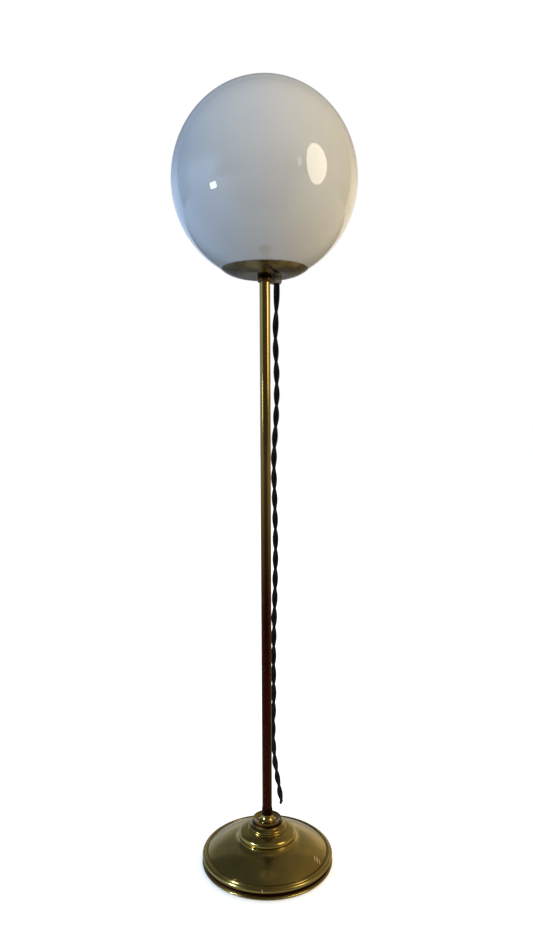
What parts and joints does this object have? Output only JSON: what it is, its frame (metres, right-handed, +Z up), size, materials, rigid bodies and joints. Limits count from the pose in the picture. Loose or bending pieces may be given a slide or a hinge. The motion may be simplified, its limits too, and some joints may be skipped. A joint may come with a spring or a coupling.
{
  "type": "globe floor lamp",
  "caption": "Floor lamp: opal glass globe in a shallow brass dish on a straight brass stem with a spun, ballasted round base and a twisted cord from the dish.",
  "frame": {"origin": "middle of the felt pad's underside, on the floor under the stem's axis", "axes": "+Z up along the stem, -Y towards the front that the picture shows"},
  "size_m": [0.25, 0.25, 1.1183],
  "materials": {
    "felt": "dense black felt",
    "iron": "raw casting",
    "base_brass": "spun, polished and aged",
    "stem_brass": "polished, darkening towards the floor",
    "dish_brass": "spun, satin, mottled with age",
    "plain_brass": "turned, bright",
    "zinc_steel": "zinc plated",
    "spring_steel": "spring temper",
    "opal_glass": "glossy opal, not see-through",
    "porcelain": "glazed porcelain",
    "clear_glass": "clear",
    "grey_plastic": "translucent grey, moulded",
    "black_braid": "braided and twisted",
    "core_sleeve": "insulated core",
    "black_insulator": "black glass",
    "tin_solder": "soldered tip",
    "filament": "yellow coated filament",
    "mica_mount": "pressed glass",
    "bronze": "spring bronze"
  },
  "bodies": {
    "stand": {"base_pad": "felt", "ballast": "iron", "base_shell": "base_brass", "base_collar": "base_brass", "stem_foot": "base_brass", "stem_tube": "stem_brass", "stem_lower_bush": "plain_brass", "stem_upper_bush": "plain_brass", "tie_rod": "zinc_steel", "rod_nut": "zinc_steel", "rod_washer": "zinc_steel", "top_nipple": "zinc_steel", "ball_collar": "stem_brass", "dish": "dish_brass", "dish_washer": "zinc_steel", "dish_nut": "zinc_steel", "glass_gasket": "felt", "clip_spider": "zinc_steel", "globe_clip_1": "spring_steel", "globe_clip_2": "spring_steel", "globe_clip_3": "spring_steel", "clip_rivets": "plain_brass", "cord_grommet": "grey_plastic", "grommet_nut": "grey_plastic", "flex": "black_braid", "core_live": "core_sleeve", "core_neutral": "core_sleeve", "holder_bracket": "zinc_steel", "bracket_nut": "zinc_steel", "holder_screws": "zinc_steel", "holder_body": "porcelain", "holder_shell": "plain_brass", "holder_contact": "bronze", "terminal_blocks": "plain_brass", "terminal_screws": "zinc_steel"},
    "globe": {"globe": "opal_glass"},
    "bulb_tip": {"bulb_tip": "tin_solder"},
    "bulb": {"bulb_glass": "clear_glass", "bulb_cap": "plain_brass", "bulb_insulator": "black_insulator", "bulb_mount": "mica_mount", "bulb_filaments": "filament"}
  },
  "joints": [
    {"name": "globe_lift", "type": "slide", "parent": "stand", "child": "globe", "axis": [0, 0, 1], "range_m": [0, 0.15]},
    {"name": "bulb_travel", "type": "slide", "parent": "stand", "child": "bulb_tip", "axis": [0, 0, 1], "range_m": [0, 0.02173]},
    {"name": "bulb_turn", "type": "hinge", "parent": "bulb_tip", "child": "bulb", "pos_m": [0, 0, 0.9], "axis": [0, 0, 1], "range_deg": [0, 2160]}
  ],
  "couplings": [
    {"joint": "bulb_travel", "follows": "bulb_turn", "m_per_rad": 0.000576}
  ]
}
